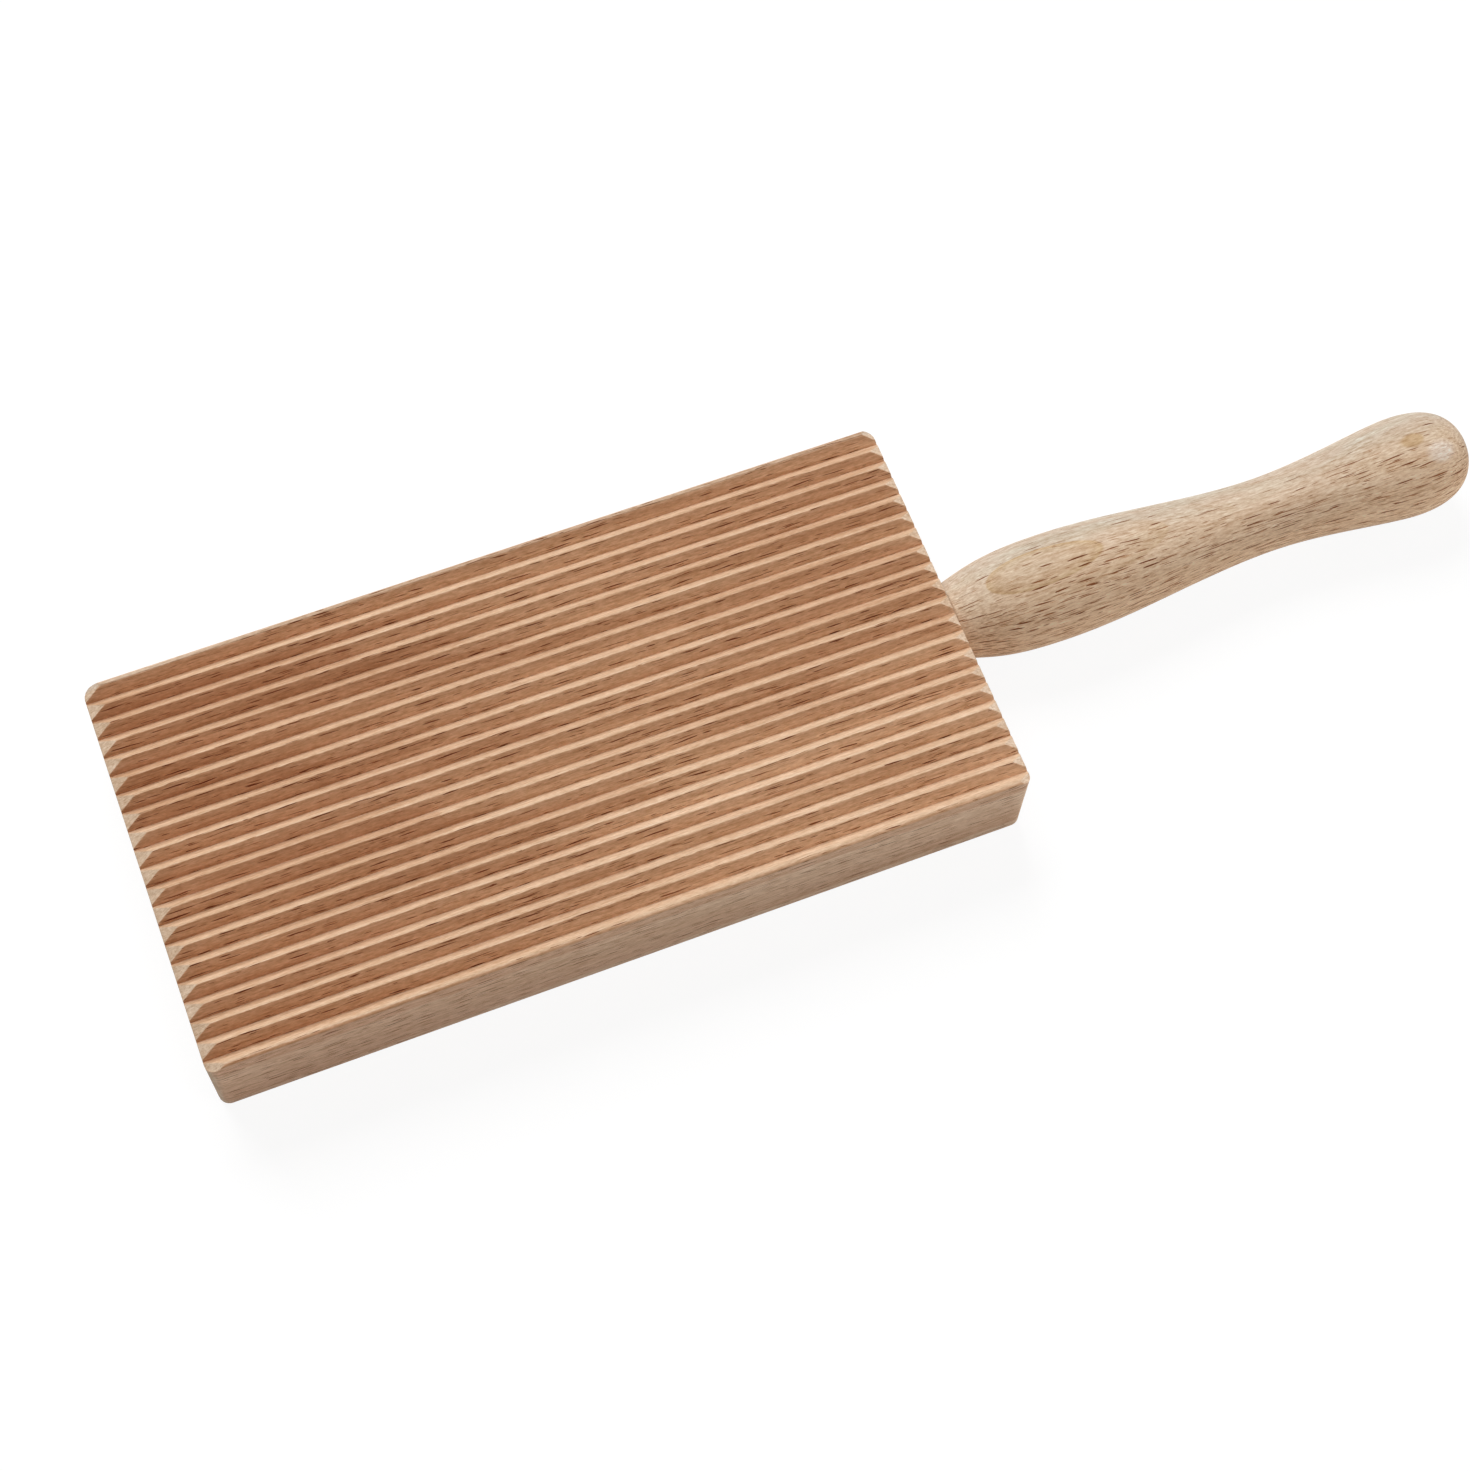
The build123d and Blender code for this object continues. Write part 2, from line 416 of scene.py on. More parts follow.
# The handle: its outline turned about the axis. Its unevenness is a sum of sines round it
# and along it, halved and moved so that it only takes wood away, which keeps the handle
# inside the true turned shape.
def makeHandle(shape=handleShape):
    outline = handleOutline()
    along, radius = outline[:, 0], outline[:, 1]
    angle = np.linspace(0, 2 * np.pi, shape["sides"] + 1)
    dice = np.random.default_rng(shape["unevenSeed"])
    waves, fade = shape["unevenWaves"], shape["unevenFade"]
    slow = np.zeros((len(along), len(angle)))
    for count, wavelength in waves:
        phase = dice.uniform(0, 2 * np.pi, 2)
        lengthwise = np.sin(2 * np.pi * along[:, None] / wavelength + phase[1])
        slow += np.sin(count * angle[None] + phase[0]) * lengthwise
    onGrip = np.clip((along - shape["unevenFrom"]) / fade, 0, 1) * np.clip(radius / fade, 0, 1)
    worn = radius[:, None] - shape["unevenness"] * (1 + slow / len(waves)) / 2 * onGrip[:, None]
    points = np.stack([
        np.broadcast_to(boardHigh[0] + along[:, None], worn.shape),
        worn * np.sin(angle)[None],
        boardHigh[2] / 2 - worn * np.cos(angle)[None],
    ], axis=-1)
    girth = np.broadcast_to(angle[None] * shape["grainRadius"], worn.shape)
    grainRun = np.concatenate([[0], np.cumsum(np.hypot(*np.diff(outline, axis=0).T))])
    place = np.stack([np.broadcast_to(grainRun[:, None], worn.shape), girth], axis=-1)
    return makePiece("turnedHandle", [(points, place)])


board = makeBoard()
handle = makeHandle()
print("pieces made:", len(board.data.polygons), "and", len(handle.data.polygons), "faces")


# Materials

# A socket that arithmetic works on: each operation adds a Math node to the same tree.
class Signal:
    def __init__(self, bench, socket):
        self.bench, self.socket = bench, socket

    def __add__(self, other):
        return self.bench.math("ADD", self, other)

    def __sub__(self, other):
        return self.bench.math("SUBTRACT", self, other)

    def __rsub__(self, other):
        return self.bench.math("SUBTRACT", other, self)

    def __mul__(self, other):
        return self.bench.math("MULTIPLY", self, other)

    def __truediv__(self, other):
        return self.bench.math("DIVIDE", self, other)

    def __pow__(self, other):
        return self.bench.math("POWER", self, other)

    def __abs__(self):
        return self.bench.math("ABSOLUTE", self)

    __radd__, __rmul__ = __add__, __mul__


# A node tree, of a material or of the world, and the calls that add nodes to it.
class Bench:
    def __init__(self, owner):
        owner.use_nodes = True
        self.owner, self.tree = owner, owner.node_tree
        self.tree.nodes.clear()

    # A node of a type, its settings first, then the values or links of its sockets.
    def node(self, kind, settings=None, inputs=None):
        node = self.tree.nodes.new(kind)
        for key, value in (settings or {}).items():
            setattr(node, key, value)
        for key, value in (inputs or {}).items():
            self.feed(node.inputs[key], value)
        return node

    def feed(self, socket, value):
        if isinstance(value, Signal):
            self.tree.links.new(value.socket, socket)
        else:
            socket.default_value = value

    def out(self, node, name=0):
        return Signal(self, node.outputs[name])

    def shader(self, kind, inputs):
        return self.out(self.node(kind, None, inputs))

    def math(self, operation, first, second=0.0):
        inputs = {0: first, 1: second}
        return self.out(self.node("ShaderNodeMath", {"operation": operation}, inputs))

    def step(self, value, low, high):  # 0 below low, 1 above high, smooth between
        settings = {"interpolation_type": "SMOOTHSTEP"}
        inputs = {"Value": value, "From Min": low, "From Max": high}
        return self.out(self.node("ShaderNodeMapRange", settings, inputs))

    def join(self, x, y, z):
        return self.out(self.node("ShaderNodeCombineXYZ", None, {0: x, 1: y, 2: z}))

    def split(self, vector):
        node = self.node("ShaderNodeSeparateXYZ", None, {0: vector})
        return [self.out(node, axis) for axis in range(3)]

    def noise(self, vector, detail=2.0, roughness=0.5):
        settings = {"noise_dimensions": "3D"}
        inputs = {"Vector": vector, "Scale": 1.0, "Detail": detail, "Roughness": roughness}
        return self.out(self.node("ShaderNodeTexNoise", settings, inputs), "Fac")

    def mix(self, share, first, second, blend="MIX"):  # colours
        settings = {"data_type": "RGBA", "blend_type": blend, "clamp_factor": True}
        node = self.node("ShaderNodeMix", settings, {0: share, 6: first, 7: second})
        return self.out(node, 2)

    # Short pointed flecks that lie along the fibres. A jittered grid of cells holds one fleck
    # in each, of which about a share are filled. A fleck reaches as far as the distance across
    # over its half width, plus the square of the distance along over its half length, stays
    # under one. Gives their shape and how dark each one is.
    def flecks(self, along, across, kind, share, seed):
        cell, half, draw = fleckKinds[kind]
        seed = seed + draw
        bendAlong, bendAcross = fleckForm["bendLengths"]
        bend = self.join(along / bendAlong, across / bendAcross, seed + fleckForm["bendSeed"])
        bend = self.noise(bend, 1.0) * fleckForm["bend"]
        place = self.join(along / cell[0] + seed, (across + bend) / cell[1] + seed, 0.0)
        settings = {"voronoi_dimensions": "2D", "feature": "F1", "distance": "EUCLIDEAN"}
        inputs = {"Vector": place, "Scale": 1.0, "Randomness": 1.0}
        cells = self.node("ShaderNodeTexVoronoi", settings, inputs)
        draws = self.split(self.out(cells, "Color"))
        here, centre = self.split(place), self.split(self.out(cells, "Position"))
        length, width = fleckForm["length"], fleckForm["width"]
        fromAlong = (here[0] - centre[0]) * (cell[0] / half[0]) / (length[0] + length[1] * draws[1])
        fromAcross = abs(here[1] - centre[1]) * (cell[1] / half[1])
        fromAcross = fromAcross / (width[0] + width[1] * draws[2])
        shape = 1 - self.step(fromAcross + fromAlong * fromAlong, *fleckForm["edge"])
        return shape * self.math("LESS_THAN", draws[0], share), draws[2]

    def lookedAt(self):  # 1 where a camera, gloss or glass looks, 0 where light is gathered
        path = self.node("ShaderNodeLightPath")
        rays = ("Is Camera Ray", "Is Glossy Ray", "Is Transmission Ray")
        camera, gloss, glass = (self.out(path, ray) for ray in rays)
        return self.math("MAXIMUM", self.math("MAXIMUM", camera, gloss), glass)

    def finish(self, kind, shader):
        output = self.node(kind)
        self.tree.links.new(shader.outputs[0], output.inputs[0])
        return self.owner


def rgba(red, green, blue):
    return (red, green, blue, 1.0)


white = rgba(1, 1, 1)

# Patterns of the wood: the lengths in mm along x, y and z over which each changes, how often
# it counts the wood's seed, and the detail and roughness of its noise.
patterns = {
    "drift": ((55.0, 11.0, 8.0), 1, 2.0, 0.5),  # heart tone
    "blush": ((17.0, 3.4, 3.4), 3, 1.0, 0.5),
    "sway": ((45.0, 12.0, 12.0), 2, 2.0, 0.5),  # growth layers
    "wave": ((240.0, 11.0, 10.0), 5, 1.0, 0.5),  # flames
    "fibre": ((7.0, 0.5, 0.5), 1, 3.0, 0.6),
    "thread": ((1.8, 0.4, 0.4), 1, 2.0, 0.7),
    "band": ((60.0, 2.0, 2.0), 4, 2.0, 0.5),
    "streak": ((150.0, 5.0, 5.0), 8, 1.0, 0.5),
    "hair": ((12.0, 0.3, 0.3), 6, 1.0, 0.5),
}

# Kinds of fleck: the size of the cell that holds one, and half the size of the fleck itself,
# both in mm along the fibres and across them, and what the kind adds to the wood's seed.
fleckKinds = {
    "long": ((6.8, 1.25), (2.8, 0.135), 0),
    "fine": ((4.2, 0.62), (1.6, 0.08), 7),
    "pore": ((0.5, 0.5), (0.14, 0.14), 19),  # on end grain
    "nick": ((0.9, 0.4), (0.3, 0.1), 23),  # on bevels
}

# How a fleck differs from the others of its kind: the least share of its size that it has
# and what a draw adds to that. Also where its edge fades, and how a noise moves it sideways.
fleckForm = {
    "length": (0.45, 1.1),
    "width": (0.7, 0.6),
    "edge": (0.65, 1.0),
    "bend": 1.2,
    "bendLengths": (14.0, 6.0),
    "bendSeed": 0.5,
}

# Other measures of the wood's figure, lengths in mm.
figure = {
    "slantRise": 0.35,  # what facing upwards adds to facing an end, on a bevel
    "behindFaces": (0.36, 0.93),  # how the handle's hidden side faces, as shares of +Y and -Z
    "layerPowers": (1.4, 9.0),  # how late wood fades over a year, its body and its edge
    "faintLayers": 0.15,  # what is left of the growth layers where they aren't clear
    "flames": (22.0, 120.0),  # from one flame to the next, across and along the fibres
    "flameWaver": 2.6,
    "flameOnWalls": 0.3,
    "hiddenOnLitFlank": 0.75,  # share of the flecks that the flanks towards +Y hide
    "rows": (30.0, 1.3),  # rows of flecks
    "rowSeed": 5,
    "rowDensity": (0.30, 1.4),  # between the rows, and what a row adds
    "leastDensity": 0.05,
    "fineDensity": 0.9,
    "longDarkness": (0.50, 0.50),  # the least, and what a draw adds
    "fineDarkness": 0.8,
    "pores": 0.7,  # share of their places that are filled
    "nicks": 0.6,
    "endSway": 2.2,
    "endUneven": 0.9,
    "endUnevenLengths": (14.0, 9.0),
    "endContrast": (0.55, 0.5),  # of the rings' lines and of the blush, on end grain
}

# Between which values of what tells it each part of the surface fades in.
spans = {
    "endOn": (0.80, 0.97),  # how squarely it faces an end
    "newYear": (0.0, 0.06),
    "flame": (0.25, 0.97),
    "far": (-60.0, -170.0),  # distance from the joint
    "deep": (23.1, 22.4),  # height
    "wall": (0.80, 0.97),  # how squarely it faces a side
    "onRidges": (0.25, 0.50),  # how far it faces upwards
    "rim": (43.8, 44.3),  # distance from the middle, towards +Y
    "shadedFlank": (-0.05, -0.45),  # how far it faces +Y, as the next one
    "litFlank": (0.05, 0.45),
    "behind": (-0.25, 0.20),
    "hair": (0.46, 0.30),
    "row": (0.38, 0.62),
    "blush": (0.35, 0.65),
    "endLine": (0.30, 0.92),  # the dark line of a ring on end grain, and where it stops
    "endStop": (0.93, 1.0),
}

# How strongly each pattern changes the wood's brightness, and how far it stands out of the
# surface.
strengths = {
    "shade": {"mean": 1.03, "band": 0.26, "hair": -0.14, "pore": -0.16, "nick": -0.10},
    "relief": {"fibre": 0.35, "thread": 0.35, "marks": -0.35, "hair": -0.15, "pore": -0.40},
    "bump": (0.45, 0.12),  # strength, and distance in mm
    "roughness": (0.58, 0.10, 0.10),  # all over, on threads and in flecks
    "specular": 0.10,
}


boardWood = {
    "pale": rgba(0.850, 0.618, 0.424),
    "pink": rgba(0.850, 0.606, 0.412),
    "heartAndPaintedLight": rgba(0.695, 0.448, 0.285),
    "ringLine": rgba(0.640, 0.330, 0.175),
    "fleck": rgba(0.20, 0.065, 0.025),  # what flecks multiply the wood by, at their darkest
    "faintFleck": rgba(0.61, 0.39, 0.25),
    "acrossFibres": rgba(0.815, 0.595, 0.422),  # bevels, which cut the fibres at a slant
    "endGrain": rgba(0.640, 0.445, 0.300),
    "endRings": (8.0, -52.0, 2.7),  # middle of the tree's rings, as (y, z), and their spacing
    "shadedFlank": rgba(1.070, 0.990, 0.905),  # painted bounce light: what the flanks that face -Y, away from the key lamp, multiply it by, redder
    "farShadedFlank": rgba(0.930, 0.720, 0.585),  # the same painted tint, darker and redder, at the end away from the handle
    "nearCrest": rgba(0.930, 0.870, 0.830),  # and painted shade towards the crests of those flanks near the handle
    "litFlank": rgba(0.900, 0.920, 0.920),  # painted shade: what the flanks that face +Y, towards the key lamp, multiply it by
    # painted shade on those flanks at the end away from the handle
    "farLitFlank": rgba(0.878, 0.858, 0.825),
    "farGrooveShade": rgba(0.710, 0.665, 0.625),  # and deeper painted shade towards the grooves' bottoms at that end
    "nearWallShade": rgba(0.915, 0.880, 0.870),  # painted shade on the walls along the sides, from end to end
    "farWallShade": rgba(0.935, 0.860, 0.840),
    "rim": rgba(0.880, 0.910, 0.950),  # greyer and bluer along the rounded edge on the +Y side
    "farBevel": rgba(0.930, 0.910, 0.880),  # the bevel at that end
    "warmth": (1.40, 1.85),  # how much faster green and blue fall than red where wood is darker
    "slantFrom": (0.55, 0.75),
    "sway": 0.9,
    "heartAndPaintedLightStart": 0.17,  # share of the heart tone on the axis
    "heartAndPaintedLightFall": 0.011,  # what each millimetre towards +Y adds to that share
    "heartBend": -0.00016,  # and its square
    "heartDrift": 0.8,
    "flame": 0.76,
    "ringSpacing": 17.0,
    "ringLean": (0.03, 1.0),  # how the growth layers face, as shares of +Y and +Z
    "ringClimb": (18.4, 0.005, 0.0),  # height of a layer along the fibres, from the joint
    "ringBody": 0.42,
    "ringEdge": 0.15,
    "ringFade": (-9.0, -8.0),  # heights between which the layers grow clear
    "fleckStart": 0.36,  # share of the places that hold a fleck, on the axis
    "fleckFall": 0.0,  # what each millimetre towards +Y adds to that share
    "grain": (0.44, 0.78),  # how much the fibres and the finer threads change its brightness
    "streaks": 0.28,  # the same for streaks about as wide as a ridge
    "seed": 3.0,
}

handleWood = {
    # on the handle, pale and pink are darker and greyer, painted shade on the side towards the key
    # lamp at +Y, and the heart tone is painted light, bright and warm, on the -Y side that the
    # lamps leave in shade
    "pale": rgba(0.590, 0.495, 0.385),
    "pink": rgba(0.605, 0.480, 0.370),
    "heartAndPaintedLight": rgba(0.930, 0.640, 0.415),
    "behind": rgba(0.745, 0.575, 0.420),  # the side towards +Y and the underside
    "ringLine": rgba(0.560, 0.350, 0.165),
    "fleck": rgba(0.22, 0.07, 0.025),
    "faintFleck": rgba(0.68, 0.43, 0.27),
    "glintSpot": ((143.7, -3.6, 22.4), (4.6, 3.2, 3.2)),  # painted highlight on the knob: middle and reach of a paler spot
    "glintColour": rgba(0.950, 0.790, 0.655),
    "glintShare": 0.8,  # how much of the wood's tone and flecks it hides
    "warmth": (1.45, 1.85),
    "acrossFibres": rgba(0.700, 0.550, 0.410),
    "endGrain": rgba(0.600, 0.450, 0.320),
    "endRings": (3.0, -60.0, 2.2),
    "slantFrom": (0.90, 1.20),
    "sway": 0.12,
    # painted light and shade: the share of the bright tone grows towards -Y
    "heartAndPaintedLightStart": 0.45,
    "heartAndPaintedLightFall": -0.07,
    "heartBend": 0.0,
    "heartDrift": 0.35,
    "flame": 0.0,
    "ringSpacing": 2.0,
    "ringLean": (0.055, 1.0),
    "ringClimb": (22.067, 0.0464, -0.000154),
    "ringBody": 0.40,
    "ringEdge": 0.60,
    "ringFade": (21.6, 22.8),
    "fleckStart": 0.28,
    "fleckFall": -0.07,
    "grain": (0.56, 0.84),
    "streaks": 0.10,
    "seed": 11.0,
}


# Bare beech, worked out in object space in millimetres: growth layers that the surface cuts
# through, fibres stretched along X, short dark flecks that lie in rows, slanting cuts and
# end grain with rings and pores, and a slow drift of tone. Painted light and shade lie on
# top: tints on the board's flanks and walls by which way they face, the handle's tone
# brighter towards -Y and darker towards +Y, and a painted highlight on its knob.
def beech(name, wood):
    b = Bench(bpy.data.materials.new(name))
    coordinates = b.node("ShaderNodeTexCoord")
    x, y, z = (axis * (1 / mm) for axis in b.split(b.out(coordinates, "Object")))
    lean, facing, rise = b.split(b.out(coordinates, "Normal"))
    grain = b.node("ShaderNodeUVMap", {"uv_map": "grain"})
    along, across = b.split(b.out(grain))[:2]
    seed = wood["seed"]
    run = x - boardHigh[0]  # from the joint towards the knob
    slant = b.step(abs(lean) + figure["slantRise"] * rise, *wood["slantFrom"])  # bevels
    endOn = b.step(abs(lean), *spans["endOn"])

    def pattern(kind):
        lengths, times, detail, roughness = patterns[kind]
        place = b.join(x / lengths[0], y / lengths[1], z / lengths[2] + seed * times)
        return b.noise(place, detail, roughness)

    # growth layers: how late in its year the wood of a layer grew
    sway, blush = pattern("sway") - 0.5, pattern("blush")
    climb = wood["ringClimb"]
    height = climb[0] + climb[1] * run + climb[2] * run * run
    layer = wood["ringLean"][0] * y + wood["ringLean"][1] * z - height + sway * wood["sway"]
    phase = b.math("FRACT", layer / wood["ringSpacing"])
    body, edge = figure["layerPowers"]
    late = wood["ringBody"] * (1 - phase) ** body + wood["ringEdge"] * (1 - phase) ** edge
    faint = figure["faintLayers"]
    clear = faint + (1 - faint) * b.step(z, *wood["ringFade"])
    late = late * b.step(phase, *spans["newYear"]) * clear

    # which parts of the piece a place belongs to, and how clearly its flecks show there
    apart, lengthwise = figure["flames"]
    flame = y / apart + x / lengthwise + figure["flameWaver"] * pattern("wave")
    flame = b.step(b.math("FRACT", flame), *spans["flame"])
    shown = 1 - slant
    if wood is boardWood:
        far = b.step(run, *spans["far"])
        deep = b.step(z, *spans["deep"])
        wall = b.step(abs(facing), *spans["wall"])
        onRidges = b.step(rise, *spans["onRidges"])
        rim = b.step(y, *spans["rim"]) * onRidges
        # flanks facing -Y and +Y, which the tints below give painted bounce light and painted shade
        shadedFlank = b.step(facing, *spans["shadedFlank"]) * onRidges
        litFlank = b.step(facing, *spans["litFlank"]) * onRidges
        shown = shown * (1 - figure["hiddenOnLitFlank"] * litFlank)
        onWalls = figure["flameOnWalls"]
        flame = flame * (onWalls + (1 - onWalls) * onRidges)
    else:
        # a painted highlight: a soft paler spot on the knob, where the flecks fade
        spot = [(axis - middle) / reach for axis, middle, reach in zip((x, y, z), *wood["glintSpot"])]
        glintSpot = 1 - b.step(sum(axis * axis for axis in spot), 0.0, 1.0)
        sideways, down = figure["behindFaces"]
        behind = b.step(sideways * facing - down * rise, *spans["behind"])
        shown = shown * (1 - wood["glintShare"] * glintSpot)

    # fibres and flecks
    fibre, thread, band, streak = (pattern(kind) for kind in ("fibre", "thread", "band", "streak"))
    hair = b.step(pattern("hair"), *spans["hair"]) * shown
    rowLength, rowWidth = figure["rows"]
    row = b.noise(b.join(along / rowLength, across / rowWidth, seed + figure["rowSeed"]))
    row = b.step(row, *spans["row"])
    density = wood["fleckStart"] + wood["fleckFall"] * y
    density = b.math("MAXIMUM", density, figure["leastDensity"])
    between, inRow = figure["rowDensity"]
    density = density * (between + inRow * row)
    long, longDepth = b.flecks(along, across, "long", density, seed)
    fine, fineDepth = b.flecks(along, across, "fine", density * figure["fineDensity"], seed)
    marks = b.math("MAXIMUM", long, fine) * shown
    least, added = figure["longDarkness"]
    longDark = long * (least + added * longDepth)
    darkness = b.math("MAXIMUM", longDark, fine * fineDepth * figure["fineDarkness"])
    pore = b.flecks(y, z, "pore", figure["pores"], seed)[0] * endOn
    nick = b.flecks(along, y, "nick", figure["nicks"], seed)[0] * slant

    # tone of the wood; on the handle, the share of the heart tone across Y is painted light and
    # shade
    heartAndPaintedLight = wood["heartAndPaintedLightStart"] + wood["heartAndPaintedLightFall"] * y + wood["heartBend"] * y * y
    heartAndPaintedLight = heartAndPaintedLight + wood["heartDrift"] * (pattern("drift") - 0.5) + wood["flame"] * flame
    tone = b.mix(b.step(blush, *spans["blush"]), wood["pale"], wood["pink"])
    tone = b.mix(heartAndPaintedLight, tone, wood["heartAndPaintedLight"])
    if wood is handleWood:
        tone = b.mix(behind, tone, wood["behind"])
    tone = b.mix(late, tone, wood["ringLine"])
    tone = b.mix(slant, tone, wood["acrossFibres"])

    # end grain: rings round the middle of the tree, with a thin dark line at each one's end
    ringY, ringZ, ringGap = wood["endRings"]
    radius = ((y - ringY) ** 2.0 + (z - ringZ) ** 2.0) ** 0.5 + figure["endSway"] * sway
    unevenY, unevenZ = figure["endUnevenLengths"]
    uneven = figure["endUneven"] * b.noise(b.join(0.0, y / unevenY, z / unevenZ), 1.0)
    growth = b.math("FRACT", radius / ringGap + uneven)
    line = b.step(growth, *spans["endLine"]) * (1 - b.step(growth, *spans["endStop"]))
    lineShare, blushShare = figure["endContrast"]
    endShare = lineShare * line + blushShare * (blush - 0.5)
    endTone = b.mix(endShare, wood["endGrain"], wood["ringLine"])
    tone = b.mix(endOn, tone, endTone)

    # painted light and shade on the board: tints on the flanks and walls by which way they face and
    # where they lie, darker towards the grooves' bottoms at the far end, and the tone of the far
    # bevel and of the +Y edge
    if wood is boardWood:
        farLitFlank = b.mix(deep, wood["farLitFlank"], wood["farGrooveShade"])
        paintedShadeAndTone = b.mix(litFlank, white, b.mix(far, wood["litFlank"], farLitFlank))
        shadedFlankColour = b.mix(far, wood["shadedFlank"], wood["farShadedFlank"])
        crest = b.mix(deep, b.mix(far, wood["nearCrest"], white), white)
        paintedShadeAndTone = b.mix(shadedFlank, paintedShadeAndTone, b.mix(1.0, shadedFlankColour, crest, "MULTIPLY"))
        paintedShadeAndTone = b.mix(slant * far, paintedShadeAndTone, wood["farBevel"])
        paintedShadeAndTone = b.mix(wall, paintedShadeAndTone, b.mix(far, wood["nearWallShade"], wood["farWallShade"]))
        paintedShadeAndTone = b.mix(rim, paintedShadeAndTone, wood["rim"])
        tone = b.mix(1.0, tone, paintedShadeAndTone, "MULTIPLY")
    else:
        # the painted highlight on the knob
        tone = b.mix(wood["glintShare"] * glintSpot, tone, wood["glintColour"])

    # brightness of the fibres, warmer where it is darker, and the flecks
    part = strengths["shade"]
    shade = wood["grain"][0] * (fibre - 0.5) + wood["grain"][1] * (thread - 0.5)
    shade = shade + part["band"] * (band - 0.5) + wood["streaks"] * (streak - 0.5)
    shade = shade + part["mean"] + part["hair"] * hair + part["pore"] * pore + part["nick"] * nick
    warmth = wood["warmth"]
    tone = b.mix(1.0, tone, b.join(shade, shade ** warmth[0], shade ** warmth[1]), "MULTIPLY")
    stain = b.mix(marks, white, b.mix(darkness, wood["faintFleck"], wood["fleck"]))
    tone = b.mix(1.0, tone, stain, "MULTIPLY")

    part = strengths["relief"]
    relief = part["fibre"] * fibre + part["thread"] * thread + part["marks"] * marks
    relief = relief + part["hair"] * hair + part["pore"] * pore
    strength, distance = strengths["bump"]
    inputs = {"Strength": strength, "Distance": distance * mm, "Height": relief}
    bump = b.node("ShaderNodeBump", None, inputs)
    plain, onThreads, inFlecks = strengths["roughness"]
    return b.finish("ShaderNodeOutputMaterial", b.node("ShaderNodeBsdfPrincipled", None, {
        "Base Color": tone,
        "Roughness": plain + onThreads * thread + inFlecks * marks,
        "Normal": b.out(bump),
        "Specular IOR Level": strengths["specular"],
    }))


def dress(piece, material, node):
    piece.data.materials.clear()
    piece.data.materials.append(material)
    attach(piece, "root")
    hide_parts(node)


dress(board, beech("boardBeech", boardWood), "ridged_board")
dress(handle, beech("handleBeech", handleWood), "turned_handle")
print("materials made")


# Studio

studio = {
    "floorSize": 6.0,  # metres, as the studio's other lengths
    "floorLevel": -0.02,  # in millimetres, just under the object
    "floorColour": rgba(0.86, 0.86, 0.86),
    "shownFloor": rgba(0.16, 0.16, 0.16),  # the floor that the camera sees, under its glow
    "shownGlow": 0.90,
    "whiteFrom": (0.35, 0.80),  # between these distances it turns plain white
    "worldStrength": 0.13,
    "keyPlace": (-0.12, 1.13, 1.13),
    "keySize": 1.1,
    "keyPower": 25.5,
    "fillPlace": (0.65, -0.62, 0.45),
    "fillSize": 0.5,
    "fillPower": 2.6,
}


# A plane that looks white to the camera but keeps the object's shadow, and throws the
# light of a pale floor back at the object.
def makeFloor():
    reach = studio["floorSize"] / 2
    corners = np.array([(-1, -1), (1, -1), (1, 1), (-1, 1)]) * reach
    mesh = bpy.data.meshes.new("floor")
    level = np.full(len(corners), studio["floorLevel"] * mm)
    mesh.from_pydata(np.column_stack([corners, level]).tolist(), [], [(0, 1, 2, 3)])
    floor = bpy.data.objects.new("floor", mesh)
    bpy.context.scene.collection.objects.link(floor)
    b = Bench(bpy.data.materials.new("paleFloor"))
    plain = b.shader("ShaderNodeBsdfDiffuse", {"Color": studio["floorColour"]})
    shadowed = b.shader("ShaderNodeBsdfDiffuse", {"Color": studio["shownFloor"]})
    glow = b.shader("ShaderNodeEmission", {"Color": white, "Strength": studio["shownGlow"]})
    blank = b.shader("ShaderNodeEmission", {"Color": white, "Strength": 1.0})
    near = b.shader("ShaderNodeAddShader", {0: shadowed, 1: glow})
    x, y = b.split(b.out(b.node("ShaderNodeTexCoord"), "Object"))[:2]
    away = b.step((x * x + y * y) ** 0.5, *studio["whiteFrom"])
    shown = b.shader("ShaderNodeMixShader", {0: away, 1: near, 2: blank})
    inputs = {0: b.lookedAt(), 1: plain, 2: shown}
    mixed = b.node("ShaderNodeMixShader", None, inputs)
    mesh.materials.append(b.finish("ShaderNodeOutputMaterial", mixed))


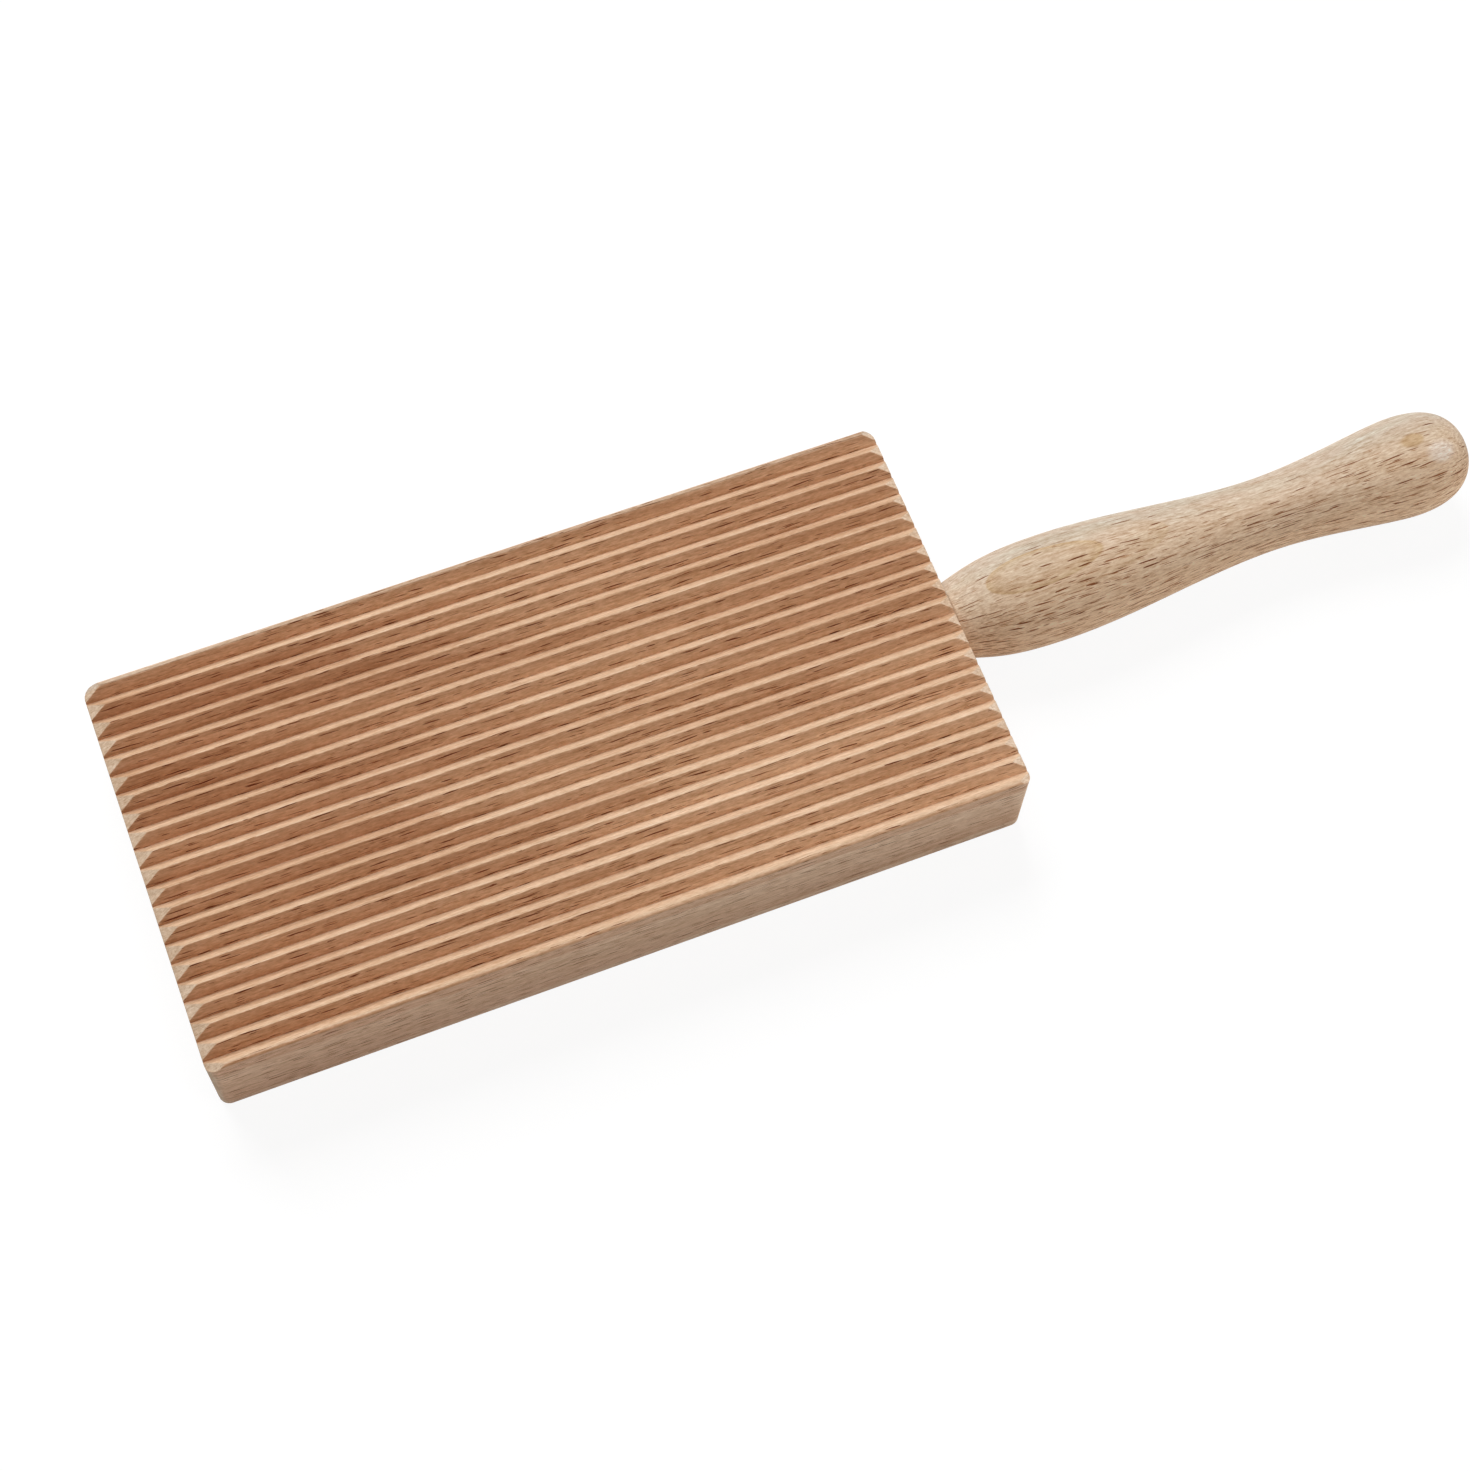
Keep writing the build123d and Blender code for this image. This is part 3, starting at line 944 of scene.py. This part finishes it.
# World: even soft light on the object, plain white where a camera or a gloss looks at it.
def makeWorld():
    world = bpy.data.worlds.new("studioAir")
    bpy.context.scene.world = world
    b = Bench(world)
    inputs = {"Color": white, "Strength": studio["worldStrength"]}
    gathered = b.shader("ShaderNodeBackground", inputs)
    shown = b.shader("ShaderNodeBackground", {"Color": white, "Strength": 1.0})
    inputs = {0: b.lookedAt(), 1: gathered, 2: shown}
    b.finish("ShaderNodeOutputWorld", b.node("ShaderNodeMixShader", None, inputs))


# A square soft light that faces the object's middle.
def makeLamp(name, place, size, power):
    data = bpy.data.lights.new(name, "AREA")
    data.shape = "SQUARE"
    data.size = size
    data.energy = power
    lamp = bpy.data.objects.new(name, data)
    lamp.location = place
    lamp.rotation_euler = (-lamp.location).to_track_quat("-Z", "Y").to_euler()
    bpy.context.scene.collection.objects.link(lamp)


# The photograph's view: where the camera stands, the directions of its right, down and
# forward axes, and its focal length in pixels of a picture 1470 wide and 1471 high.
photoCamera = {
    "place": (-127.81, -231.89, 574.66),
    "right": (0.9322463, -0.3609324, 0.0253876),
    "down": (-0.3216487, -0.8588250, -0.3986999),
    "forward": (0.1657072, 0.3635207, -0.9167299),
    "focalPixels": 2860.6,
    "picturePixels": 1471,
    "clip": (0.01, 20.0),  # metres
}


def makeCamera():
    sensor = 36.0  # Blender's own millimetres on the sensor
    data = bpy.data.cameras.new("photoCamera")
    data.sensor_fit = "AUTO"
    data.sensor_width = sensor
    data.lens = photoCamera["focalPixels"] / photoCamera["picturePixels"] * sensor
    data.clip_start, data.clip_end = photoCamera["clip"]
    camera = bpy.data.objects.new("photoCamera", data)
    right, down, forward = (np.array(photoCamera[axis]) for axis in ("right", "down", "forward"))
    turned = np.eye(4)
    turned[:3, :3] = np.stack([right, -down, -forward], axis=1)
    turned[:3, 3] = np.array(photoCamera["place"]) * mm
    camera.matrix_world = Matrix(turned.tolist())
    bpy.context.scene.collection.objects.link(camera)
    bpy.context.scene.camera = camera


makeFloor()
makeWorld()
makeLamp("keyLight", studio["keyPlace"], studio["keySize"], studio["keyPower"])
makeLamp("fillLight", studio["fillPlace"], studio["fillSize"], studio["fillPower"])
makeCamera()
bpy.context.scene.view_settings.view_transform = "Standard"
print("studio ready")
